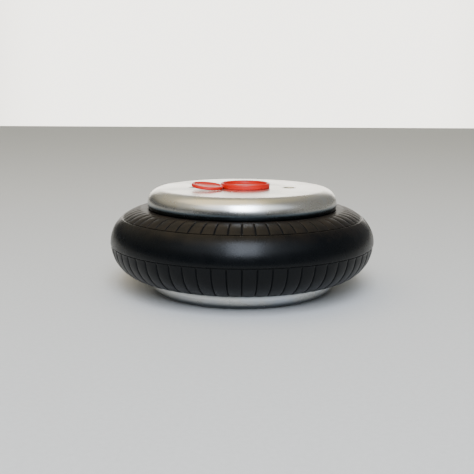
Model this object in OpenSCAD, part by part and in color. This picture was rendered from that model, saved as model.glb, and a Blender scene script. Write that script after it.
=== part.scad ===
// Single-convolution air bellows: a rubber and fabric bellows crimped between two steel bead
// plates. The origin is on the axis, on the outer face of the lower plate, with +Z up the stroke.

/* [Bead plates] */
// Height from outer face to outer face, as pictured
height = 77; // [70:0.5:86]
// Distance from the bellows' widest point in to the edge of the plate's flat face
shoulder_w = 38.4; // [37:0.2:41]
// Outer radius of the rolled rim's section
roll_r = 10.5; // [9.5:0.25:11.5]
// Sheet thickness of the bead plates
sheet_t = 2.2; // [1.5:0.1:2.6]
// How far the rim's lip is rolled in below its centre, in degrees
lip_angle = 62; // [55:1:66]

/* [Bellows] */
// Outside diameter at the widest point
bellows_d = 196.8; // [190:0.2:206]
// Radius of the convolution's section
bulge_r = 25.5; // [24:0.25:27]
// How far the widest point sits below mid height
bulge_drop = 1.5; // [0:0.1:2.5]
// Thickness of the outer rubber cover
cover_t = 2.2; // [1.8:0.1:2.8]
// Thickness of one fabric ply
ply_t = 0.9; // [0.6:0.1:1.1]
// Thickness of the inner rubber liner
liner_t = 1.6; // [1.2:0.1:2.2]
// Bond line between neighbouring layers of the wall
bond_gap = 0.05; // [0.03:0.01:0.08]
// Wire radius of the hoop in each bead
wire_r = 2; // [1.5:0.1:2.3]

/* [Moulded ribs and band] */
// Number of ribs round each shoulder
rib_count = 61; // [48:1:66]
// Width of the groove between two ribs
groove_w = 0.9; // [0.6:0.1:1.4]
// Depth of the grooves
groove_depth = 0.7; // [0.4:0.05:0.9]
// Angle on the section of the smooth band's upper edge
band_top_angle = 49; // [40:1:55]
// Angle on the section of the smooth band's lower edge
band_bottom_angle = -1; // [-10:1:5]
// How far the smooth band stands proud of the shoulders
band_raise = 0.4; // [0.2:0.05:0.6]

/* [Fixing nuts] */
// Distance between the two blind nuts of a plate
nut_pitch = 70; // [62:1:76]
// Tapping radius of the fixing thread
nut_bore_r = 3.4; // [3:0.1:4]
// Depth of the thread
nut_bore_depth = 11; // [9:0.5:13]
// Radius of the nut's body
nut_r = 6.5; // [6:0.1:7.5]
// Radius of the nut's flange under the sheet
nut_flange_r = 8.5; // [8:0.1:9.5]
// Thickness of the nut's flange
nut_flange_t = 1.6; // [1.2:0.1:2]
// Steel behind the end of the thread
nut_end_t = 2; // [1.5:0.1:3]

/* [Air port] */
// Tapping radius of the air port's pipe thread
port_bore_r = 12.06; // [11.8:0.02:12.4]
// Length of the pipe thread
port_bore_len = 14; // [12:0.5:16]
// Radius of the plain mouth above the thread
port_mouth_r = 13.4; // [13.2:0.1:13.8]
// Depth of the plain mouth
port_mouth_depth = 3; // [2.6:0.1:3.6]
// Radius of the collar's neck through the sheet
collar_r = 16; // [15.5:0.1:16.6]
// Radius of the collar's welding flange under the sheet
collar_flange_r = 20; // [19:0.1:22]
// Thickness of the welding flange
collar_flange_t = 3; // [2:0.1:4]

/* [Cap] */
// Radius of the cap
cap_r = 18.4; // [17.5:0.1:19.5]
// How far the cap's disc stands off the port's axis
cap_offset = 2.2; // [0:0.1:2.4]
// Height of the cap's raised rim above the plate
cap_rim_h = 3.6; // [3:0.1:4.2]
// Width of the raised rim
cap_rim_w = 1.9; // [1.5:0.1:2.4]
// Thickness of the cap's floor
cap_floor_t = 1.3; // [1:0.1:1.8]
// Depth of the plug in the port's mouth
plug_depth = 2.4; // [2:0.1:2.5]
// Wall of the hollow plug
plug_wall = 1.4; // [1:0.1:2]
// Outer radius of the pull ring beside the cap
ring_r = 11.7; // [9:0.1:12]
// Radius of the pull ring's round strand
strand_r = 1.15; // [0.9:0.05:1.3]
// Thickness of the web that closes the ring
web_t = 1; // [0.6:0.1:1.4]
// Direction from the cap to the pull ring, in degrees
ring_angle = 204; // [196:1:212]
// How far the ring leans up on its flexible neck, in degrees
ring_lean = 6.3; // [4:0.1:9]
// Width of the ring's neck
neck_w = 5; // [4:0.5:6]

/* [Clearances] */
// Between the rubber and the steel that grips it
grip_gap = 0.3; // [0.2:0.05:0.35]
// Between welded or pressed steel pieces
weld_gap = 0.02; // [0.01:0.01:0.05]
// Between the cap's plug and the port's mouth, on the radius
plug_gap = 0.08; // [0.05:0.01:0.1]
// Between the cap and the plate it sits on
seat_gap = 0.15; // [0.1:0.05:0.3]
// Between the pull ring's neck and the cap's rim
neck_gap = 0.3; // [0.2:0.05:0.4]

/* [Hidden] */
$fn = 96;

flat_r = bellows_d / 2 - shoulder_w;
wall_t = cover_t + 2 * ply_t + liner_t;
bulge_centre_r = bellows_d / 2 - bulge_r;
bulge_centre_z = height / 2 - bulge_drop;
roll_centre_z = height - roll_r;
roll_in_r = roll_r - sheet_t;
lip_r = sheet_t / 2;
lip_x = flat_r + (roll_r - lip_r) * cos(lip_angle);
lip_z = roll_centre_z - (roll_r - lip_r) * sin(lip_angle);
neck_r = lip_x - lip_r - grip_gap;
far = 34;
groove_far_angle = 80;
groove_end_angle = 2;
front_angle = -90;
wire_hole_r = wire_r + grip_gap;
wire_x = neck_r - cover_t + wire_hole_r;
wire_z = roll_centre_z + 0.5;
ply_tail = 3;
nut_spigot_r = nut_r - 1;
port_top = height - port_mouth_depth;
collar_len = port_mouth_depth + port_bore_len;
cap_seat_z = height + seat_gap;
lean_angle = 143;
strand_centre_r = ring_r - strand_r;
neck_axis_r = cap_r + neck_gap + strand_r;
ring_centre_r = neck_axis_r + strand_centre_r;
ring_centre_z = cap_seat_z + strand_r + strand_centre_r * sin(ring_lean);
neck_z = ring_centre_z - strand_centre_r * sin(ring_lean) * cos(ring_angle - lean_angle);

// Places what is drawn for the upper end at the lower end
module at_lower_end() translate([0, height]) mirror([0, 1]) children();

module at_both_ends() {
    children();
    at_lower_end() children();
}

module steel() color([0.78, 0.79, 0.78]) children();

module rubber() color([0.09, 0.09, 0.095]) children();

module turned() rotate_extrude($fn = 180) children();

// What lies outward of a point, bounded below by a ray along the lip's own direction
module outward_of(x, z) translate([x, z])
    polygon([[0, 0], far * [cos(lip_angle), -sin(lip_angle)], [far, -far], [far, far], [0, far]]);

// The steel hook of one bead plate, grown by a distance, which the wall wraps round
module hook_grown(d) {
    intersection() {
        translate([flat_r, roll_centre_z]) circle(roll_r + d);
        outward_of(lip_x, lip_z);
    }
    translate([lip_x, lip_z]) circle(lip_r + d);
    translate([lip_x - lip_r - d, lip_z]) square([lip_r + d, far]);
}

// Everything inside the surface that lies at depth d below the outside of the wall
module inside(d) difference() {
    union() {
        translate([bulge_centre_r, bulge_centre_z]) circle(bulge_r - d);
        translate([0, height - roll_centre_z]) square([lip_x, 2 * roll_centre_z - height]);
    }
    at_both_ends() hook_grown(grip_gap + d);
}

// One layer of the wall between two depths
module layer(d0, d1) difference() {
    inside(d0);
    inside(d1);
}

// The rubber of one bead inside the roll, out from radius x0
module bead_in_roll(x0, x1) intersection() {
    translate([flat_r, roll_centre_z]) circle(roll_in_r - grip_gap);
    translate([x0, lip_z]) square([x1 - x0, far]);
}

// One fabric ply: it runs up the inner side of the wire, over it and down the outer side. It is
// grown on both faces where it is the space for the ply in the rubber
module ply_section(d, grow = 0) {
    near = wire_x - neck_r + d + bond_gap - grow;
    away = wire_x - neck_r + d + ply_t + grow;
    layer(d + bond_gap - grow, d + ply_t + grow);
    at_both_ends() {
        translate([wire_x, wire_z]) intersection() {
            difference() {
                circle(away);
                circle(near);
            }
            translate([-far, 0]) square([2 * far, far]);
        }
        translate([wire_x + near, wire_z - ply_tail - grow]) square([away - near, ply_tail + grow]);
        translate([wire_x - away, roll_centre_z]) square([away - near, wire_z - roll_centre_z]);
    }
}

module liner_section() {
    d = cover_t + 2 * ply_t + bond_gap;
    layer(d, wall_t);
    at_both_ends() intersection() {
        bead_in_roll(neck_r - wall_t, neck_r - d);
        translate([0, roll_centre_z]) square(far * 2);
    }
}

// A wedge between two angles, drawn about the bulge's centre
module wedge(a0, a1)
    polygon([[0, 0], far * [cos(a0), sin(a0)], far * [1, tan((a0 + a1) / 2)], far * [cos(a1), sin(a1)]]);

module cover_section() difference() {
    union() {
        layer(band_raise, cover_t);
        intersection() {
            layer(0, cover_t);
            translate([bulge_centre_r, bulge_centre_z]) wedge(band_bottom_angle, band_top_angle);
        }
        at_both_ends() bead_in_roll(neck_r - wall_t + liner_t, flat_r + roll_r);
    }
    ply_section(cover_t, bond_gap);
    ply_section(cover_t + ply_t, bond_gap);
    inside(cover_t);
    at_both_ends() translate([wire_x, wire_z]) circle(wire_hole_r);
}

// One groove's outline, which cuts no deeper than the groove
module groove_outline(a0, a1) translate([bulge_centre_r, bulge_centre_z]) difference() {
    wedge(a0, a1);
    circle(bulge_r - band_raise - groove_depth);
}

// The grooves between the ribs stop short of the smooth band on both shoulders
module grooves() for (i = [0:rib_count - 1]) rotate([90, 0, front_angle + 360 * i / rib_count])
    linear_extrude(groove_w, center = true) {
        groove_outline(band_top_angle + groove_end_angle, groove_far_angle);
        groove_outline(-groove_far_angle, band_bottom_angle - groove_end_angle);
    }

module bellows_cover() rubber() difference() {
    turned() cover_section();
    grooves();
}

module outer_fabric_ply() color([0.55, 0.47, 0.33]) turned() ply_section(cover_t);

module inner_fabric_ply() color([0.62, 0.54, 0.4]) turned() ply_section(cover_t + ply_t);

module inner_liner() color([0.16, 0.16, 0.17]) turned() liner_section();

module bead_wire() color([0.6, 0.55, 0.4]) turned() translate([wire_x, wire_z]) circle(wire_r);

module plate_section() {
    intersection() {
        difference() {
            translate([flat_r, roll_centre_z]) circle(roll_r);
            translate([flat_r, roll_centre_z]) circle(roll_in_r);
        }
        outward_of(flat_r, roll_centre_z);
    }
    translate([lip_x, lip_z]) circle(lip_r);
    translate([0, height - sheet_t]) square([flat_r, sheet_t]);
}

module nut_places() for (side = [-1, 1]) translate([side * nut_pitch / 2, 0, 0]) children();

module bead_plate() difference() {
    turned() plate_section();
    nut_places() translate([0, 0, height - 2 * sheet_t])
        cylinder(r = nut_spigot_r + weld_gap, h = 3 * sheet_t);
}

module upper_bead_plate() steel() difference() {
    bead_plate();
    translate([0, 0, height - 2 * sheet_t]) cylinder(r = collar_r + weld_gap, h = 3 * sheet_t);
}

module at_lower_plate() translate([0, 0, height]) mirror([0, 0, 1]) children();

module lower_bead_plate() steel() at_lower_plate() bead_plate();

module blind_nut(side) color([0.66, 0.62, 0.42]) translate([side * nut_pitch / 2, 0, 0])
    difference() {
        union() {
            translate([0, 0, height - nut_bore_depth - nut_end_t])
                cylinder(r = nut_r, h = nut_bore_depth + nut_end_t - sheet_t - weld_gap);
            translate([0, 0, height - sheet_t - weld_gap - nut_flange_t])
                cylinder(r = nut_flange_r, h = nut_flange_t);
            translate([0, 0, height - 2 * sheet_t]) cylinder(r = nut_spigot_r, h = 2 * sheet_t);
        }
        translate([0, 0, height - nut_bore_depth]) cylinder(r = nut_bore_r, h = 2 * nut_bore_depth);
    }

module air_port_collar() steel() turned() difference() {
    union() {
        translate([0, height - collar_len]) square([collar_r, collar_len]);
        translate([0, height - sheet_t - weld_gap - collar_flange_t])
            square([collar_flange_r, collar_flange_t]);
    }
    translate([0, height - 2 * collar_len]) square([port_bore_r, 3 * collar_len]);
    translate([0, port_top]) square([port_mouth_r, 2 * port_mouth_depth]);
}

module red_plastic() color([0.85, 0.2, 0.14]) children();

// The disc and its rim stand off the axis, and the hollow plug fits the port
module port_cap() red_plastic() {
    rim_round = cap_rim_w / 2;
    plug_r = port_mouth_r - plug_gap;
    translate([cap_offset, 0, 0]) turned() {
        translate([0, cap_seat_z]) square([cap_r - rim_round, cap_floor_t]);
        translate([cap_r - cap_rim_w, cap_seat_z])
            square([cap_rim_w, cap_rim_h - rim_round - seat_gap]);
        translate([cap_r - rim_round, height + cap_rim_h - rim_round]) circle(rim_round);
    }
    turned() translate([plug_r - plug_wall, height - plug_depth])
        square([plug_wall, plug_depth + seat_gap + cap_floor_t / 2]);
}

// The ring leans up on the side away from the cap, and its neck ends just short of the cap's rim
module cap_pull_ring() red_plastic() translate([cap_offset, 0, 0]) rotate([0, 0, ring_angle]) {
    translate([neck_axis_r, neck_w / 2, neck_z]) rotate([90, 0, 0])
        cylinder(r = strand_r, h = neck_w);
    translate([ring_centre_r, 0, ring_centre_z])
        rotate([0, 0, lean_angle - ring_angle]) rotate([0, -ring_lean, 0]) turned() {
            translate([strand_centre_r, 0]) circle(strand_r);
            translate([0, -web_t / 2]) square([strand_centre_r, web_t]);
        }
}

lower_bead_plate();
upper_bead_plate();
bellows_cover();
outer_fabric_ply();
inner_fabric_ply();
inner_liner();
at_lower_plate() bead_wire();  // lower_bead_wire
bead_wire();  // upper_bead_wire
at_lower_plate() blind_nut(-1);  // lower_blind_nut_left
at_lower_plate() blind_nut(1);  // lower_blind_nut_right
blind_nut(-1);  // upper_blind_nut_left
blind_nut(1);  // upper_blind_nut_right
air_port_collar();
port_cap();
cap_pull_ring();
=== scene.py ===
"""Looks of the air bellows: rubber, plated steel and the port's red cap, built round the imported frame."""
import math

import bmesh
import bpy
from mathutils import Matrix, Vector


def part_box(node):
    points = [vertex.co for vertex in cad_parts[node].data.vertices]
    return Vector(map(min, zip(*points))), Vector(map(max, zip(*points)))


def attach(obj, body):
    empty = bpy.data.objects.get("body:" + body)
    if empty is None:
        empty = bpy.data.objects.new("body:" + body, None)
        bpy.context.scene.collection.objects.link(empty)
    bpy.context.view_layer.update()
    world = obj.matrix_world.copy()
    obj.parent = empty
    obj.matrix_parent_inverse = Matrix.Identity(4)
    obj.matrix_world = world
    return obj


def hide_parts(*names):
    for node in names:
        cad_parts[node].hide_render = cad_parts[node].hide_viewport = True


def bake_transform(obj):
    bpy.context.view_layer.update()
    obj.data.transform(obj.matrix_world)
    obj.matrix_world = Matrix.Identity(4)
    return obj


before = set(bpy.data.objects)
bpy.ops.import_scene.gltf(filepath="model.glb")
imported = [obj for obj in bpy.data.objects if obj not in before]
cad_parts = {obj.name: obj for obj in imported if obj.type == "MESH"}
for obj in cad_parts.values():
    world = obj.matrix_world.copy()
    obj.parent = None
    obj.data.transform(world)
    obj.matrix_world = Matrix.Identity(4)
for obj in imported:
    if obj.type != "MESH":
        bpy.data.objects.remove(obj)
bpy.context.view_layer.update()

MM = 0.001
TURN = 2 * math.pi

# Sizes in millimetres. Those of the frame are read from its nodes
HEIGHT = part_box("upper_bead_plate")[1].z / MM
RIM_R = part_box("upper_bead_plate")[1].x / MM
WIDEST_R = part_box("bellows_cover")[1].x / MM
SHEET_T = 2.2
ROLL_R = 10.5
FLAT_R = RIM_R - ROLL_R
LIP_R = SHEET_T / 2
LIP_ANGLE = 62
GRIP_GAP = 0.3
COVER_T = 2.2
BULGE_R = 25.5
BULGE_DROP = 1.5
BULGE_CENTRE = (WIDEST_R - BULGE_R, HEIGHT / 2 - BULGE_DROP)
NUT_X = 35
WELD_GAP = 0.02
CAP_R = (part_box("port_cap")[1].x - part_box("port_cap")[0].x) / 2 / MM
CAP_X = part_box("port_cap")[1].x / MM - CAP_R
CAP_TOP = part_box("port_cap")[1].z / MM
SEAT_GAP = 0.15

# The camera stands where the photograph's did; its frame is 474 pixels square
FRAME_PX = 474
AIM = Vector((0, 0, 38.5)) * MM
CAMERA_ELEVATION = math.radians(10.3)
CAMERA_DISTANCE = 600 * MM
FOCAL_PX = 792
ROLL = math.radians(0.285)
OBJECT_OFFSET_PX = (5, 1)


def place_camera():
    data = bpy.data.cameras.new("camera")
    data.sensor_width = 36
    data.lens = FOCAL_PX / FRAME_PX * data.sensor_width
    data.shift_x = -OBJECT_OFFSET_PX[0] / FRAME_PX
    data.shift_y = OBJECT_OFFSET_PX[1] / FRAME_PX
    data.clip_start = 0.01
    camera = bpy.data.objects.new("camera", data)
    bpy.context.scene.collection.objects.link(camera)
    back = Vector((0, -math.cos(CAMERA_ELEVATION), math.sin(CAMERA_ELEVATION)))
    camera.location = AIM + CAMERA_DISTANCE * back
    camera.rotation_mode = "QUATERNION"
    camera.rotation_quaternion = back.to_track_quat("Z", "Y") @ Matrix.Rotation(ROLL, 3, "Z").to_quaternion()
    bpy.context.scene.camera = camera


place_camera()


# Materials
def linear(value):
    """An sRGB hex colour as linear light"""
    parts = [int(value[i:i + 2], 16) / 255 for i in (1, 3, 5)]
    return [p / 12.92 if p <= 0.04045 else ((p + 0.055) / 1.055) ** 2.4 for p in parts] + [1]


def add(tree, kind, inputs=None, stops=None, **settings):
    """Adds a node with its settings, and links or sets its inputs; stops are a ramp's places and colours"""
    node = tree.nodes.new(kind)
    for name, value in settings.items():
        setattr(node, name, value)
    for name, value in (inputs or {}).items():
        if isinstance(value, bpy.types.NodeSocket):
            tree.links.new(value, node.inputs[name])
        else:
            node.inputs[name].default_value = value
    if stops:
        ramp = node.color_ramp
        while len(ramp.elements) < len(stops):
            ramp.elements.new(0.5)
        for element, (place, colour) in zip(ramp.elements, stops):
            element.position = place
            element.color = linear(colour)
    return node


def new_material(name, **sockets):
    """A material with one shader, whose plain sockets are set here"""
    material = bpy.data.materials.new(name)
    material.use_nodes = True
    tree = material.node_tree
    shader = tree.nodes["Principled BSDF"]
    for socket, value in sockets.items():
        shader.inputs[socket.replace("_", " ")].default_value = value
    place = add(tree, "ShaderNodeTexCoord").outputs["Object"]
    return material, tree, shader, place


# Where the plates' painted shade is full and where it is gone. That of the lips goes by the distance from
# the middle height, counted from the roll's centre, and wanders by the width given below. The painted
# contact shadow at the foot goes by height, and spares the flat face, which goes by radius
ROLL_CENTRE = HEIGHT / 2 - ROLL_R
LIP_SHADE = (ROLL_CENTRE - 0.6, ROLL_CENTRE + 3.2)
LIP_SHADE_WAVE = 0.8
FOOT_SHADOW = (2, 6.4)
FACE_EDGE = (FLAT_R + 4, FLAT_R)


def zinc_plated_sheet():
    # Bright zinc on pressed sheet steel: a soft mirror, clouded by the passivate's straw and blue tints
    cloud_size, grain_size = 24 * MM, 1.6 * MM
    material, tree, shader, place = new_material("zinc_plated_sheet_steel", Metallic=1)
    cloud = add(tree, "ShaderNodeTexNoise", {"Vector": place, "Scale": 1 / cloud_size, "Detail": 3})
    tint = add(tree, "ShaderNodeValToRGB", {"Fac": cloud.outputs["Fac"]},
               stops=[(0.3, "#e6e6e5"), (0.5, "#ebe8df"), (0.7, "#e2e6e9")])
    grain = add(tree, "ShaderNodeTexNoise", {"Vector": place, "Scale": 1 / grain_size, "Detail": 3})
    haze = add(tree, "ShaderNodeMapRange", {"Value": cloud.outputs["Fac"], "From Min": 0.3, "From Max": 0.7,
                                            "To Min": 0.22, "To Max": 0.32})
    bump = add(tree, "ShaderNodeBump", {"Height": grain.outputs["Fac"], "Strength": 0.03,
                                        "Distance": 0.05 * MM})
    # Painted shade: the rolled lips are darkened where they turn in towards the bellows, for the shade
    # there, and the lower plate's rim is darkened where it meets what it stands on, a painted contact shadow
    height = add(tree, "ShaderNodeSeparateXYZ", {"Vector": place}).outputs["Z"]
    from_middle = add(tree, "ShaderNodeMath", {0: height, 1: HEIGHT / 2 * MM}, operation="SUBTRACT")
    to_face = add(tree, "ShaderNodeMath", {0: from_middle.outputs["Value"]}, operation="ABSOLUTE")
    uneven = add(tree, "ShaderNodeMath", {0: cloud.outputs["Fac"], 1: LIP_SHADE_WAVE * MM,
                                          2: to_face.outputs["Value"]}, operation="MULTIPLY_ADD")
    flat_place = add(tree, "ShaderNodeVectorMath", {0: place, 1: (1, 1, 0)}, operation="MULTIPLY")
    from_axis = add(tree, "ShaderNodeVectorMath", {0: flat_place.outputs["Vector"]}, operation="LENGTH")
    lip, foot, on_face = [
        add(tree, "ShaderNodeMapRange", {"Value": value, "From Min": full * MM, "From Max": gone * MM},
            interpolation_type="SMOOTHSTEP").outputs["Result"]
        for value, (full, gone) in ((uneven.outputs["Value"], LIP_SHADE), (height, FOOT_SHADOW),
                                    (from_axis.outputs["Value"], FACE_EDGE))]
    foot_or_face = add(tree, "ShaderNodeMath", {0: foot, 1: on_face}, operation="MAXIMUM")
    unshaded = add(tree, "ShaderNodeMath", {0: lip, 1: foot_or_face.outputs["Value"]}, operation="MULTIPLY")
    # Painted shade: the dark grey-blue mixed in at the lips and at the foot
    painted_shade = add(tree, "ShaderNodeMixRGB", {"Fac": unshaded.outputs["Value"], "Color1": linear("#4c555b"),
                                             "Color2": tint.outputs["Color"]})
    tree.links.new(painted_shade.outputs["Color"], shader.inputs["Base Color"])
    tree.links.new(haze.outputs["Result"], shader.inputs["Roughness"])
    tree.links.new(bump.outputs["Normal"], shader.inputs["Normal"])
    return material


def turned_zinc_steel():
    # Turned and plated steel: duller and yellower than the sheet, with a fine grain that breaks up its shine
    grain_size = 0.8 * MM
    material, tree, shader, place = new_material("turned_zinc_plated_steel", Metallic=1)
    grain = add(tree, "ShaderNodeTexNoise", {"Vector": place, "Scale": 1 / grain_size, "Detail": 3})
    tint = add(tree, "ShaderNodeValToRGB", {"Fac": grain.outputs["Fac"]},
               stops=[(0.3, "#b9b6a6"), (0.7, "#cfccc0")])
    haze = add(tree, "ShaderNodeMapRange", {"Value": grain.outputs["Fac"], "To Min": 0.28, "To Max": 0.42})
    tree.links.new(tint.outputs["Color"], shader.inputs["Base Color"])
    tree.links.new(haze.outputs["Result"], shader.inputs["Roughness"])
    return material


def moulded_rubber():
    # Black moulded rubber: satin from the mould, with a warm brown bloom on its upper side; the grooves are
    # kept black as painted shade
    bloom_size, sand_size = 9 * MM, 0.6 * MM
    material, tree, shader, place = new_material("moulded_black_rubber", IOR=1.5, Specular_IOR_Level=0.15)
    bloom_noise = add(tree, "ShaderNodeTexNoise", {"Vector": place, "Scale": 1 / bloom_size, "Detail": 5})
    upper = add(tree, "ShaderNodeAttribute", attribute_name="upper_side").outputs["Fac"]
    bloom = add(tree, "ShaderNodeMath", {0: bloom_noise.outputs["Fac"], 1: upper}, operation="MULTIPLY")
    groove = add(tree, "ShaderNodeAttribute", attribute_name="groove").outputs["Fac"]
    dullness = add(tree, "ShaderNodeAttribute", attribute_name="dullness").outputs["Fac"]
    # Painted shade: the bloom is left out of the grooves, so that they stay darker than the ribs
    unshaded_by_groove = add(tree, "ShaderNodeMath", {0: 1.0, 1: groove}, operation="SUBTRACT", use_clamp=True)
    dust_and_groove_shade = add(tree, "ShaderNodeMath", {0: bloom.outputs["Value"], 1: unshaded_by_groove.outputs["Value"]},
                 operation="MULTIPLY")
    colour = add(tree, "ShaderNodeValToRGB", {"Fac": dust_and_groove_shade.outputs["Value"]},
                 stops=[(0.1, "#06080a"), (0.7, "#211a13")])
    sand = add(tree, "ShaderNodeTexNoise", {"Vector": place, "Scale": 1 / sand_size, "Detail": 3})
    satin = add(tree, "ShaderNodeMapRange", {"Value": bloom_noise.outputs["Fac"], "To Min": 0.2,
                                             "To Max": 0.36})
    haze = add(tree, "ShaderNodeMath", {0: satin.outputs["Result"], 1: dullness}, use_clamp=True)
    bump = add(tree, "ShaderNodeBump", {"Height": sand.outputs["Fac"], "Strength": 0.2,
                                        "Distance": 0.06 * MM})
    tree.links.new(colour.outputs["Color"], shader.inputs["Base Color"])
    tree.links.new(haze.outputs["Value"], shader.inputs["Roughness"])
    tree.links.new(bump.outputs["Normal"], shader.inputs["Normal"])
    return material


def calendered_liner():
    # Calendered liner rubber: matt and even, with a faint grain
    grain_size = 2 * MM
    material, tree, shader, place = new_material("calendered_liner_rubber", IOR=1.5)
    grain = add(tree, "ShaderNodeTexNoise", {"Vector": place, "Scale": 1 / grain_size, "Detail": 3})
    colour = add(tree, "ShaderNodeValToRGB", {"Fac": grain.outputs["Fac"]},
                 stops=[(0.3, "#1d1c1c"), (0.7, "#272525")])
    haze = add(tree, "ShaderNodeMapRange", {"Value": grain.outputs["Fac"], "To Min": 0.6, "To Max": 0.8})
    tree.links.new(colour.outputs["Color"], shader.inputs["Base Color"])
    tree.links.new(haze.outputs["Result"], shader.inputs["Roughness"])
    return material


# The cords' distance from one another, and how far they run sideways for each millimetre of height
CORD_PITCH = 1
CORD_SLANT = 0.8


def cord_fabric(name, slant):
    # Rubberised nylon cord: parallel cords laid on the bias, with the rubber darker between them
    material, tree, shader, place = new_material(name, Roughness=0.75)
    parts = add(tree, "ShaderNodeSeparateXYZ", {"Vector": place})
    angle = add(tree, "ShaderNodeMath", {0: parts.outputs["Y"], 1: parts.outputs["X"]}, operation="ARCTAN2")
    around = add(tree, "ShaderNodeMath", {0: angle.outputs["Value"], 1: WIDEST_R / CORD_PITCH},
                 operation="MULTIPLY")
    slanted = add(tree, "ShaderNodeMath", {0: parts.outputs["Z"], 1: slant / (CORD_PITCH * MM),
                                           2: around.outputs["Value"]}, operation="MULTIPLY_ADD")
    phase = add(tree, "ShaderNodeMath", {0: slanted.outputs["Value"], 1: TURN}, operation="MULTIPLY")
    wave = add(tree, "ShaderNodeMath", {0: phase.outputs["Value"]}, operation="SINE")
    colour = add(tree, "ShaderNodeValToRGB", {"Fac": wave.outputs["Value"]},
                 stops=[(0.0, "#4a3f2d"), (0.6, "#a08e69")])
    tree.links.new(colour.outputs["Color"], shader.inputs["Base Color"])
    return material


def bronzed_wire():
    # Bronze coated bead wire: drawn bright, a little brown
    grain_size = 1.5 * MM
    material, tree, shader, place = new_material("bronze_coated_bead_wire", Metallic=1)
    grain = add(tree, "ShaderNodeTexNoise", {"Vector": place, "Scale": 1 / grain_size, "Detail": 3})
    colour = add(tree, "ShaderNodeValToRGB", {"Fac": grain.outputs["Fac"]},
                 stops=[(0.3, "#a88a5e"), (0.7, "#c2a777")])
    haze = add(tree, "ShaderNodeMapRange", {"Value": grain.outputs["Fac"], "To Min": 0.3, "To Max": 0.45})
    tree.links.new(colour.outputs["Color"], shader.inputs["Base Color"])
    tree.links.new(haze.outputs["Result"], shader.inputs["Roughness"])
    return material


def red_polyethylene():
    # Soft moulded polyethylene: waxy, a little light passes into its edges
    flow_size, skin_size = 7 * MM, 0.7 * MM
    material, tree, shader, place = new_material(
        "moulded_red_polyethylene", IOR=1.5, Specular_IOR_Level=0.3, Subsurface_Weight=0.25,
        Subsurface_Radius=(1.0, 0.25, 0.15), Subsurface_Scale=1.5 * MM)
    flow = add(tree, "ShaderNodeTexNoise", {"Vector": place, "Scale": 1 / flow_size, "Detail": 3})
    colour = add(tree, "ShaderNodeValToRGB", {"Fac": flow.outputs["Fac"]},
                 stops=[(0.3, "#bb1209"), (0.7, "#c81c0c")])
    haze = add(tree, "ShaderNodeMapRange", {"Value": flow.outputs["Fac"], "To Min": 0.26, "To Max": 0.4})
    skin = add(tree, "ShaderNodeTexNoise", {"Vector": place, "Scale": 1 / skin_size, "Detail": 2})
    bump = add(tree, "ShaderNodeBump", {"Height": skin.outputs["Fac"], "Strength": 0.12,
                                        "Distance": 0.05 * MM})
    tree.links.new(colour.outputs["Color"], shader.inputs["Base Color"])
    tree.links.new(haze.outputs["Result"], shader.inputs["Roughness"])
    tree.links.new(bump.outputs["Normal"], shader.inputs["Normal"])
    return material


def pale_paper():
    # Matt pale studio paper under the object
    fibre_size = 3 * MM
    material, tree, shader, place = new_material("matt_studio_paper")
    fibre = add(tree, "ShaderNodeTexNoise", {"Vector": place, "Scale": 1 / fibre_size, "Detail": 4})
    colour = add(tree, "ShaderNodeValToRGB", {"Fac": fibre.outputs["Fac"]},
                 stops=[(0.3, "#cfcfcd"), (0.7, "#d4d4d2")])
    haze = add(tree, "ShaderNodeMapRange", {"Value": fibre.outputs["Fac"], "To Min": 0.85, "To Max": 0.95})
    tree.links.new(colour.outputs["Color"], shader.inputs["Base Color"])
    tree.links.new(haze.outputs["Result"], shader.inputs["Roughness"])
    return material


PLATE_STEEL = zinc_plated_sheet()
TURNED_STEEL = turned_zinc_steel()
RUBBER = moulded_rubber()
LINER_RUBBER = calendered_liner()
OUTER_CORD = cord_fabric("nylon_cord_outer_ply", CORD_SLANT)
INNER_CORD = cord_fabric("nylon_cord_inner_ply", -CORD_SLANT)
WIRE = bronzed_wire()
RED_PLASTIC = red_polyethylene()


# Mesh tools
# How near two points are merged, in a spun shape and in a copy of the frame's loose triangles
SPUN_MERGE, COPY_MERGE = 0.002 * MM, 0.001 * MM


def arc(centre, radius, start, end, steps):
    """Points along a round stretch between two angles in degrees"""
    angles = [math.radians(start + (end - start) * i / steps) for i in range(steps + 1)]
    return [(centre[0] + radius * math.cos(a), centre[1] + radius * math.sin(a)) for a in angles]


def spun(outline, steps):
    """A closed outline of (radius, height) points in millimetres, spun round the Z axis"""
    bm = bmesh.new()
    verts = [bm.verts.new((r * MM, 0, z * MM)) for r, z in outline]
    edges = [bm.edges.new((a, b)) for a, b in zip(verts, verts[1:] + verts[:1])]
    bmesh.ops.spin(bm, geom=verts + edges, axis=(0, 0, 1), cent=(0, 0, 0), steps=steps, angle=TURN,
                   use_merge=True)
    bmesh.ops.remove_doubles(bm, verts=bm.verts, dist=SPUN_MERGE)
    bmesh.ops.recalc_face_normals(bm, faces=bm.faces)
    return bm


def as_piece(bm, name, material, sharp_angle=35):
    """Makes the mesh an object, smooth but for edges sharper than an angle in degrees"""
    mesh = bpy.data.meshes.new(name)
    for face in bm.faces:
        face.smooth = True
    for edge in bm.edges:
        if len(edge.link_faces) == 2 and edge.calc_face_angle(0) > math.radians(sharp_angle):
            edge.smooth = False
    bm.to_mesh(mesh)
    bm.free()
    mesh.materials.append(material)
    piece = bpy.data.objects.new(name, mesh)
    bpy.context.scene.collection.objects.link(piece)
    return piece


def copy_of_node(node, name, material):
    """A merged copy of a CAD node's mesh, for a layer of the wall"""
    bm = bmesh.new()
    bm.from_mesh(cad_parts[node].data)
    bmesh.ops.remove_doubles(bm, verts=bm.verts, dist=COPY_MERGE)
    return as_piece(bm, name, material)


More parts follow.
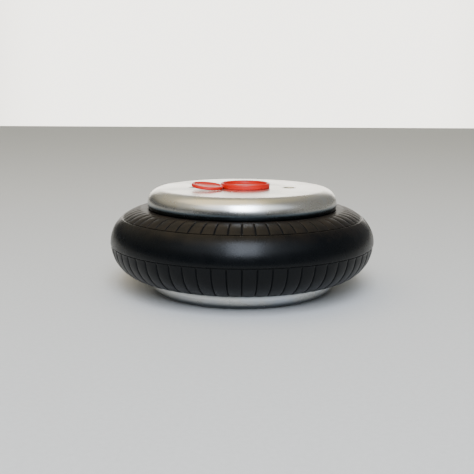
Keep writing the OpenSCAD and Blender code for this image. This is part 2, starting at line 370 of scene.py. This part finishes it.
def crossing_angle(centre, radius, other_centre, other_radius, side):
    """The angle about the first centre at which two circles cross, on one side of the line between them"""
    dx, dz = other_centre[0] - centre[0], other_centre[1] - centre[1]
    span = math.hypot(dx, dz)
    lean = math.acos((radius**2 + span**2 - other_radius**2) / (2 * radius * span))
    return math.degrees(math.atan2(dz, dx) + side * lean)


# Bellows cover
BAND_TOP, BAND_BOTTOM = 49, -1
BAND_RAISE = 0.4
# From the band outwards: degrees beyond its edge, and how far the skin lies below the band there
BAND_EDGE = ((-1.4, 0), (-0.4, 0.06), (0.15, 0.28), (0.35, 0.8), (1.4, 0.85), (1.8, BAND_RAISE))
# Degrees from the band's edges to where its smooth round starts
BAND_INSET = 1.2
RIB_COUNT = 61
FRONT = -TURN / 4
GROOVE_DEPTH = 0.95
RIB_CROWN = 0.3
GROOVE_END = 1.8
GROOVE_FADE = 0.6
GROOVE_FAR = 84
GROOVE_FAR_FADE = 4
BEAD_R = ROLL_R - SHEET_T - GRIP_GAP
# Columns of one rib, as shares of the rib's pitch from the groove's middle, and the groove's depth there
RIB_COLUMNS = (0, 0.03, 0.043, 0.06, 0.12, 0.27, 0.5)
GROOVE_SHARES = (1, 1, 0.3, 0.04, 0, 0, 0)
# The mould's parting lines, as the numbers of the grooves they run through, counted from the front
PARTING_GROOVES = (14, -17)
PARTING_RAISE = 0.18
# How much rougher the ribs and the grooves are than the band, which the mould left smooth
RIB_DULLNESS, GROOVE_DULLNESS = 0.13, 0.3
# The heights at which the upper side's bloom starts and is full, kept on the mesh so that it stays where
# it is as the wall stretches
BLOOM_START, BLOOM_FULL = 46, 62


def bead_end(hook_z):
    """The cover's section from the bulge's outside round the rolled rim into the bead and back, with
    heights counted from the bulge's centre"""
    hook = (FLAT_R, hook_z)
    lip_turn = math.radians(LIP_ANGLE)
    lip_reach = ROLL_R - LIP_R
    lip = (FLAT_R + lip_reach * math.cos(lip_turn), hook_z - lip_reach * math.sin(lip_turn))
    bulge = (BULGE_CENTRE[0], 0)
    outer_r, inner_r = ROLL_R + GRIP_GAP, ROLL_R + GRIP_GAP + COVER_T
    outer_start = crossing_angle(hook, outer_r, bulge, BULGE_R - BAND_RAISE, 1)
    inner_start = crossing_angle(hook, inner_r, bulge, BULGE_R - COVER_T, 1)
    lip_outer, lip_inner = LIP_R + GRIP_GAP, LIP_R + GRIP_GAP + COVER_T
    neck_x = lip[0] - lip_outer
    neck_in_x = lip[0] - lip_inner
    bead_low = math.degrees(math.asin((neck_x - hook[0]) / BEAD_R)) - 90
    bead_high = 90 - math.degrees(math.asin((neck_in_x - hook[0]) / BEAD_R))
    return (arc(hook, outer_r, outer_start, -LIP_ANGLE, steps=6)
            + arc(lip, lip_outer, -LIP_ANGLE, -180, steps=4)[1:]
            + arc(hook, BEAD_R, bead_low, bead_high, steps=8)
            + arc(lip, lip_inner, -180, -LIP_ANGLE, steps=4)
            + arc(hook, inner_r, -LIP_ANGLE, inner_start, steps=4)[1:])


def cover_outline():
    """The closed section of the cover, from the bulge's outside upwards"""
    upper_hook = HEIGHT - ROLL_R - BULGE_CENTRE[1]
    lower_hook = BULGE_CENTRE[1] - ROLL_R
    above, below = bead_end(upper_hook), bead_end(lower_hook)
    centre_x = BULGE_CENTRE[0]

    def angle_of(point):
        return math.degrees(math.atan2(point[1], point[0] - centre_x))

    shoulder_r = BULGE_R - BAND_RAISE
    bulge = (centre_x, 0)
    reach = BAND_EDGE[-1][0]

    def band_edge(edge, away):
        turned = [math.radians(edge + away * beyond) for beyond, _ in BAND_EDGE[::away]]
        lowered = [BULGE_R - below for _, below in BAND_EDGE[::away]]
        return [(centre_x + r * math.cos(a), r * math.sin(a)) for r, a in zip(lowered, turned)]

    outside = (arc(bulge, shoulder_r, -angle_of(below[0]), BAND_BOTTOM - reach, steps=23)[1:-1]
               + band_edge(BAND_BOTTOM, -1)
               + arc(bulge, BULGE_R, BAND_BOTTOM + BAND_INSET, BAND_TOP - BAND_INSET, steps=12)[1:-1]
               + band_edge(BAND_TOP, 1)
               + arc(bulge, shoulder_r, BAND_TOP + reach, angle_of(above[0]), steps=14)[1:-1])
    inside = arc(bulge, BULGE_R - COVER_T, angle_of(above[-1]), -angle_of(below[-1]), steps=16)[1:-1]
    lower_bead = [(x, -z) for x, z in reversed(below)]
    return [(x, z + BULGE_CENTRE[1]) for x, z in outside + above + inside + lower_bead]


def smooth_step(low, high, value):
    """How far a value has come from one end of a range to the other, eased at both"""
    t = min(1, max(0, (value - low) / (high - low)))
    return t * t * (3 - 2 * t)


def rib_column(share):
    """Where an even column moves to within its rib, and how deep the groove is there"""
    step = abs(share) * 2 * (len(RIB_COLUMNS) - 1)
    index = round(step)
    return math.copysign(RIB_COLUMNS[index], share), GROOVE_SHARES[index]


def carve_ribs(bm):
    """Gathers the even columns of the spun cover at the grooves, rounds the ribs and presses the grooves in,
    and keeps for the material how far each point is in a groove, how dull it is and how much bloom it has"""
    in_groove = bm.verts.layers.float.new("groove")
    dullness = bm.verts.layers.float.new("dullness")
    upper_side = bm.verts.layers.float.new("upper_side")
    for vert in bm.verts:
        around = math.atan2(vert.co.y, vert.co.x) / TURN * RIB_COUNT
        nearest = round(around)
        share, groove = rib_column(around - nearest)
        radius = math.hypot(vert.co.x, vert.co.y) / MM
        out, up = radius - BULGE_CENTRE[0], vert.co.z / MM - BULGE_CENTRE[1]
        tube, angle = math.hypot(out, up), math.degrees(math.atan2(up, out))
        if tube > BULGE_R - COVER_T / 2:
            above = smooth_step(BAND_TOP + GROOVE_END, BAND_TOP + GROOVE_END + GROOVE_FADE, angle)
            below = smooth_step(-BAND_BOTTOM + GROOVE_END, -BAND_BOTTOM + GROOVE_END + GROOVE_FADE, -angle)
            far = 1 - smooth_step(GROOVE_FAR - GROOVE_FAR_FADE, GROOVE_FAR, abs(angle))
            ribbed = (above + below) * far
            depth = ribbed * (GROOVE_DEPTH * groove + RIB_CROWN * (1 - 2 * abs(share)) ** 2)
            vert[in_groove] = ribbed * groove
            vert[dullness] = RIB_DULLNESS * (above + below) + GROOVE_DULLNESS * ribbed * groove
            radius -= depth * out / tube
            vert.co.z -= depth * up / tube * MM
            if groove == 1 and nearest in PARTING_GROOVES and abs(angle) < GROOVE_FAR:
                radius += PARTING_RAISE * out / tube
                vert.co.z += PARTING_RAISE * up / tube * MM
        vert[upper_side] = min(1, max(0, (vert.co.z / MM - BLOOM_START) / (BLOOM_FULL - BLOOM_START)))
        turn = FRONT + (nearest + share) / RIB_COUNT * TURN
        vert.co.x, vert.co.y = radius * MM * math.cos(turn), radius * MM * math.sin(turn)


def bellows_skin():
    """The cover, spun with as many columns as its ribs need and then carved"""
    columns = 2 * (len(RIB_COLUMNS) - 1) * RIB_COUNT
    bm = spun(cover_outline(), steps=columns)
    carve_ribs(bm)
    piece = as_piece(bm, "bellows_skin", RUBBER, sharp_angle=60)
    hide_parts("bellows_cover")
    return piece


def bend_with_stroke(piece):
    """Bakes the piece's placing into its mesh"""
    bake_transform(piece)


wall = [bellows_skin()]
for node, name, material, slot in (
        ("outer_fabric_ply", "outer_cord_ply", OUTER_CORD, "ply_fabric"),
        ("inner_fabric_ply", "inner_cord_ply", INNER_CORD, "ply_fabric"),
        ("inner_liner", "liner_skin", LINER_RUBBER, "liner_rubber")):
    layer = copy_of_node(node, name, material)
    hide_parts(node)
    wall.append(layer)
for layer in wall:
    bend_with_stroke(layer)


# Threaded steel pieces
# A thread's form over each half of its pitch: the slope of its flank, and how long the crest holds before it
FLANK_SLOPE, CREST_HOLD = 2.6, 0.8
# Points to each turn of a thread, and how near the bore's wall a point lies to be cut with it
THREAD_STEPS = 8
ON_WALL = 0.01


def cut_thread(bm, crest_r, depth, pitch, low, high):
    """Presses a helical thread into the wall of a plain bore between two heights"""
    for vert in bm.verts:
        radius, z = math.hypot(vert.co.x, vert.co.y) / MM, vert.co.z / MM
        if abs(radius - crest_r) < ON_WALL and low <= z <= high:
            place = (z / pitch - math.atan2(vert.co.y, vert.co.x) / TURN) % 1
            flank = min(1, max(0, FLANK_SLOPE * abs(2 * place - 1) - CREST_HOLD))
            run_out = min(1, (z - low) / pitch, (high - z) / pitch)
            scale = 1 + depth * flank * run_out / radius
            vert.co.x *= scale
            vert.co.y *= scale


def bore_wall(radius, low, high, pitch):
    """Points down the wall of a bore, THREAD_STEPS to each turn of its thread"""
    count = round(THREAD_STEPS * (high - low) / pitch)
    return [(radius, high + (low - high) * i / count) for i in range(count + 1)]


# Sizes of the nuts and the collar. Their threads run from the bore at tapping size out into the wall
NUT_BORE_R, NUT_THREAD, NUT_PITCH, NUT_DEPTH = 3.4, 0.6, 1.25, 11
NUT_R, NUT_SPIGOT_R, NUT_FLANGE_R, NUT_FLANGE_T, NUT_END_T = 6.5, 5.5, 8.5, 1.6, 2
NUT_CHAMFER, NUT_RELIEF = 0.7, 0.4
PORT_BORE_R, PORT_THREAD, PORT_PITCH = 12.06, 1.16, 1.814
PORT_MOUTH_R, PORT_MOUTH_DEPTH, PORT_LENGTH = 13.4, 3, 17
COLLAR_R, COLLAR_FLANGE_R, COLLAR_FLANGE_T = 16, 20, 3
# The chamfer or round on a small edge
EDGE = 0.3


def blind_nut(name, node, body, side, up):
    """A blind nut under its plate's sheet: closed end, flange, spigot through the sheet, M8 thread"""
    under = HEIGHT - SHEET_T - WELD_GAP
    end = HEIGHT - NUT_DEPTH - NUT_END_T
    bottom = HEIGHT - NUT_DEPTH
    thread_low, thread_high = bottom + NUT_RELIEF, HEIGHT - NUT_CHAMFER
    outline = ([(0, end), (NUT_R - EDGE, end), (NUT_R, end + EDGE), (NUT_R, under - NUT_FLANGE_T),
                (NUT_FLANGE_R - EDGE, under - NUT_FLANGE_T), (NUT_FLANGE_R, under - NUT_FLANGE_T + EDGE),
                (NUT_FLANGE_R, under), (NUT_SPIGOT_R, under), (NUT_SPIGOT_R, HEIGHT - EDGE / 2),
                (NUT_SPIGOT_R - EDGE / 2, HEIGHT), (NUT_BORE_R + NUT_CHAMFER, HEIGHT)]
               + bore_wall(NUT_BORE_R, thread_low, thread_high, NUT_PITCH)
               + [(NUT_BORE_R - NUT_RELIEF, bottom), (0, bottom)])
    bm = spun(outline, steps=64)
    cut_thread(bm, NUT_BORE_R, NUT_THREAD, NUT_PITCH, thread_low, thread_high)
    if not up:
        bmesh.ops.scale(bm, vec=(1, 1, -1), verts=bm.verts)
        bmesh.ops.translate(bm, vec=(0, 0, HEIGHT * MM), verts=bm.verts)
    bmesh.ops.translate(bm, vec=(side * NUT_X * MM, 0, 0), verts=bm.verts)
    bmesh.ops.recalc_face_normals(bm, faces=bm.faces)
    piece = as_piece(bm, name, TURNED_STEEL, sharp_angle=30)
    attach(piece, body)
    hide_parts(node)


def port_collar():
    """The welded collar with its pipe thread below a plain mouth"""
    under = HEIGHT - SHEET_T - WELD_GAP
    low, shoulder = HEIGHT - PORT_LENGTH, HEIGHT - PORT_MOUTH_DEPTH
    outline = ([(PORT_BORE_R + EDGE, low), (COLLAR_R - EDGE, low), (COLLAR_R, low + EDGE),
                (COLLAR_R, under - COLLAR_FLANGE_T), (COLLAR_FLANGE_R - EDGE, under - COLLAR_FLANGE_T),
                (COLLAR_FLANGE_R, under - COLLAR_FLANGE_T + EDGE), (COLLAR_FLANGE_R, under),
                (COLLAR_R, under), (COLLAR_R, HEIGHT - EDGE), (COLLAR_R - EDGE, HEIGHT),
                (PORT_MOUTH_R + EDGE, HEIGHT), (PORT_MOUTH_R, HEIGHT - EDGE), (PORT_MOUTH_R, shoulder)]
               + bore_wall(PORT_BORE_R, low + EDGE, shoulder, PORT_PITCH))
    bm = spun(outline, steps=144)
    cut_thread(bm, PORT_BORE_R, PORT_THREAD, PORT_PITCH, low + EDGE, shoulder)
    piece = as_piece(bm, "pipe_thread_collar", TURNED_STEEL, sharp_angle=30)
    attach(piece, "upper_plate")
    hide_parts("air_port_collar")


for end, up in (("lower", False), ("upper", True)):
    for hand, side in (("left", -1), ("right", 1)):
        blind_nut(f"{end}_{hand}_threaded_nut", f"{end}_blind_nut_{hand}", f"{end}_plate", side, up)
port_collar()


# Steel sheet and bead wires keep their shape from the frame
for node, material in (("lower_bead_plate", PLATE_STEEL), ("upper_bead_plate", PLATE_STEEL),
                       ("lower_bead_wire", WIRE), ("upper_bead_wire", WIRE)):
    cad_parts[node].data.materials.clear()
    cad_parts[node].data.materials.append(material)


# Cap, its pull ring and the thin neck that joins them
CAP_FLOOR_T, CAP_RIM_W = 1.3, 1.9
CAP_EDGE_R, CAP_DISH_R = 0.5, 0.8
# The pip that the mould's gate left in the middle of the cap, as radius and height above the floor
GATE_PIP = ((1.5, 0), (1.3, 0.25), (0, 0.3))
# The plug's wall ends in the cap's floor, PLUG_ROOT above the seat, and tapers at its tip
PLUG_R, PLUG_WALL, PLUG_DEPTH, PLUG_ROOT = 13.32, 1.4, 2.4, 0.6
PLUG_TAPER_IN, PLUG_TAPER_UP = 0.5, 0.8
RING_R, STRAND_R, WEB_T = 11.7, 1.15, 1
# Where the web's corner with the strand starts, inwards from the strand and in degrees round it
WEB_CORNER, WEB_CORNER_TURN = 0.3, 16
RING_ANGLE, RING_LEAN, LEAN_ANGLE = math.radians(204), math.radians(6.3), math.radians(143)
NECK_GAP, NECK_W, NECK_T = 0.3, 5, 1.3
# How far the neck reaches into the cap's rim and past its axis into the strand
NECK_IN_CAP, NECK_IN_RING = 0.6, 0.7
NECK_AXIS = CAP_R + NECK_GAP + STRAND_R
STRAND_CENTRE = RING_R - STRAND_R
RING_Z = HEIGHT + SEAT_GAP + STRAND_R + STRAND_CENTRE * math.sin(RING_LEAN)
NECK_Z = RING_Z - STRAND_CENTRE * math.sin(RING_LEAN) * math.cos(RING_ANGLE - LEAN_ANGLE)


def cap_disc():
    """The cap's floor with its rounded rim, and the hollow plug that presses into the port"""
    seat = HEIGHT + SEAT_GAP
    top = seat + CAP_FLOOR_T
    inner, rim = CAP_R - CAP_RIM_W, CAP_RIM_W / 2
    rim_centre = (CAP_R - rim, CAP_TOP - rim)
    edge_x, dish_x = CAP_R - CAP_EDGE_R, inner - CAP_DISH_R
    disc = spun([(0, seat), (edge_x, seat)]
                + arc((edge_x, seat + CAP_EDGE_R), CAP_EDGE_R, -60, 0, steps=3)
                + arc(rim_centre, rim, 0, 180, steps=10)
                + arc((dish_x, top + CAP_DISH_R), CAP_DISH_R, 0, -90, steps=5)
                + [(radius, top + above) for radius, above in GATE_PIP], steps=120)
    bmesh.ops.translate(disc, vec=(CAP_X * MM, 0, 0), verts=disc.verts)
    tip = HEIGHT - PLUG_DEPTH
    root, plug_inner = seat + PLUG_ROOT, PLUG_R - PLUG_WALL
    plug = spun([(plug_inner, root), (plug_inner, tip + EDGE), (plug_inner + EDGE, tip),
                 (PLUG_R - PLUG_TAPER_IN, tip), (PLUG_R, tip + PLUG_TAPER_UP), (PLUG_R, root)], steps=96)
    mesh = bpy.data.meshes.new("plug")
    plug.to_mesh(mesh)
    plug.free()
    disc.from_mesh(mesh)
    bpy.data.meshes.remove(mesh)
    piece = as_piece(disc, "cap_disc_and_plug", RED_PLASTIC, sharp_angle=40)
    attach(piece, "cap")
    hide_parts("port_cap")


def pull_ring():
    """The ring's round strand with a thin web in it, leaning up on its neck"""
    half = WEB_T / 2
    meet = math.degrees(math.asin(half / STRAND_R)) + WEB_CORNER_TURN
    web_r = STRAND_CENTRE - STRAND_R - WEB_CORNER
    bm = spun([(0, -half), (web_r, -half)]
              + arc((STRAND_CENTRE, 0), STRAND_R, meet - 180, 180 - meet, steps=18)
              + [(web_r, half), (0, half)], steps=96)
    place = (Matrix.Translation((CAP_X * MM, 0, 0)) @ Matrix.Rotation(RING_ANGLE, 4, "Z")
             @ Matrix.Translation(((NECK_AXIS + STRAND_CENTRE) * MM, 0, RING_Z * MM))
             @ Matrix.Rotation(LEAN_ANGLE - RING_ANGLE, 4, "Z") @ Matrix.Rotation(-RING_LEAN, 4, "Y"))
    bm.transform(place)
    piece = as_piece(bm, "ring_strand_and_web", RED_PLASTIC, sharp_angle=50)
    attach(piece, "pull_ring")
    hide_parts("cap_pull_ring")


def ring_neck():
    """The flat strip that bends when the ring is pulled up"""
    start, end = CAP_R - NECK_IN_CAP, NECK_AXIS + NECK_IN_RING
    bm = bmesh.new()
    bmesh.ops.create_cube(bm, size=1)
    bmesh.ops.scale(bm, vec=((end - start) * MM, NECK_W * MM, NECK_T * MM), verts=bm.verts)
    bmesh.ops.bevel(bm, geom=bm.edges[:], offset=EDGE * MM, offset_type="OFFSET", segments=3, profile=0.5,
                    affect="EDGES", material=-1)
    bmesh.ops.translate(bm, vec=((start + end) / 2 * MM, 0, NECK_Z * MM), verts=bm.verts)
    bm.transform(Matrix.Translation((CAP_X * MM, 0, 0)) @ Matrix.Rotation(RING_ANGLE, 4, "Z"))
    piece = as_piece(bm, "ring_neck", RED_PLASTIC, sharp_angle=40)
    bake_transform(piece)


cap_disc()
pull_ring()
ring_neck()


# Floor, light and surroundings, whose sizes are in metres
FLOOR_REACH = 3
CARD_REACH = (1.2, 0.6)
CARD_PLACE = (0, -0.92, 0.001)


def studio_floor():
    bm = bmesh.new()
    bmesh.ops.create_grid(bm, x_segments=2, y_segments=2, size=FLOOR_REACH)
    floor = as_piece(bm, "studio_floor", pale_paper())


def grey_card():
    """A card that lies on the floor before the view, and keeps the underside of the rim dark"""
    bm = bmesh.new()
    bmesh.ops.create_grid(bm, x_segments=2, y_segments=2, size=1)
    bmesh.ops.scale(bm, vec=(*CARD_REACH, 1), verts=bm.verts)
    bmesh.ops.translate(bm, vec=CARD_PLACE, verts=bm.verts)
    fibre_size = 2 * MM
    material, tree, shader, place = new_material("dark_grey_card", Roughness=0.9)
    fibre = add(tree, "ShaderNodeTexNoise", {"Vector": place, "Scale": 1 / fibre_size, "Detail": 3})
    colour = add(tree, "ShaderNodeValToRGB", {"Fac": fibre.outputs["Fac"]},
                 stops=[(0.3, "#1c1c1d"), (0.7, "#242425")])
    tree.links.new(colour.outputs["Color"], shader.inputs["Base Color"])
    as_piece(bm, "grey_card", material)


def area_light(name, azimuth, elevation, distance, width, height, watts, colour):
    """A soft box that looks at the object from an azimuth, counted from the camera's side"""
    data = bpy.data.lights.new(name, "AREA")
    data.shape = "RECTANGLE"
    data.size, data.size_y = width, height
    data.energy = watts
    data.color = linear(colour)[:3]
    light = bpy.data.objects.new(name, data)
    bpy.context.scene.collection.objects.link(light)
    a, e = math.radians(azimuth), math.radians(elevation)
    out = Vector((math.sin(a) * math.cos(e), -math.cos(a) * math.cos(e), math.sin(e)))
    light.location = AIM + distance * out
    light.rotation_mode = "QUATERNION"
    light.rotation_quaternion = out.to_track_quat("Z", "Y")


# The room in linear light, by the direction looked in: the wall on the camera's side, and layer after layer
# over it. A layer is full where each of its measures is past the second value, and fades out towards the
# first. Ahead is 1 straight behind the object and -1 straight behind the camera
CAMERA_WALL = (0.10, 0.11, 0.12, 1)
ROOM = {
    "back wall": ((0.48, 0.45, 0.37, 1), [("Y", -0.4, 0.3)]),
    "left wall": ((0.45, 0.42, 0.33, 1), [("X", 0.0, -0.7)]),
    "foot of the walls": ((0.09, 0.09, 0.09, 1), [("Z", 0.5, 0.1)]),
    "ceiling": ((0.68, 0.6, 0.36, 1), [("Z", 0.66, 0.9)]),
    "right side": ((0.22, 0.22, 0.21, 1), [("X", -0.05, 0.7)]),
    "curtain": ((1.55, 1.66, 1.78, 1), [("ahead", -0.1, -1), ("Z", 0.35, 0.55), ("Z", 0.93, 0.8)]),
    "backdrop": ((3.9, 3.76, 3.44, 1), [("Z", 0.36, 0.17), ("ahead", 0.9, 0.975)]),
}


def surroundings():
    """A dim room with a beige ceiling, a bright curtain behind the camera and a white backdrop"""
    world = bpy.data.worlds.new("studio")
    bpy.context.scene.world = world
    world.use_nodes = True
    tree = world.node_tree
    look = add(tree, "ShaderNodeTexCoord").outputs["Generated"]
    parts = add(tree, "ShaderNodeSeparateXYZ", {"Vector": look}).outputs
    level = add(tree, "ShaderNodeCombineXYZ", {"X": parts["X"], "Y": parts["Y"]}).outputs["Vector"]
    heading = add(tree, "ShaderNodeVectorMath", {0: level}, operation="NORMALIZE").outputs["Vector"]
    ahead = add(tree, "ShaderNodeSeparateXYZ", {"Vector": heading}).outputs["Y"]
    measures = {"X": parts["X"], "Y": parts["Y"], "Z": parts["Z"], "ahead": ahead}
    room = CAMERA_WALL
    for name, (colour, fades) in ROOM.items():
        share = 1.0
        for measure, start, full in fades:
            fade = add(tree, "ShaderNodeMapRange", {"Value": measures[measure], "From Min": start,
                                                    "From Max": full}, interpolation_type="SMOOTHSTEP")
            share = add(tree, "ShaderNodeMath", {0: fade.outputs["Result"], 1: share},
                        operation="MULTIPLY").outputs["Value"]
        mixed = add(tree, "ShaderNodeMixRGB", {"Fac": share, "Color1": room, "Color2": colour}, label=name)
        room = mixed.outputs["Color"]
    tree.links.new(room, tree.nodes["Background"].inputs["Color"])


studio_floor()
grey_card()
area_light("window", azimuth=2, elevation=41, distance=1.5, width=0.6, height=1.1, watts=33,
           colour="#e4eeff")
area_light("overhead_box", azimuth=-75, elevation=74, distance=1.4, width=1.5, height=1.5, watts=6.3,
           colour="#ffe9c4")
surroundings()
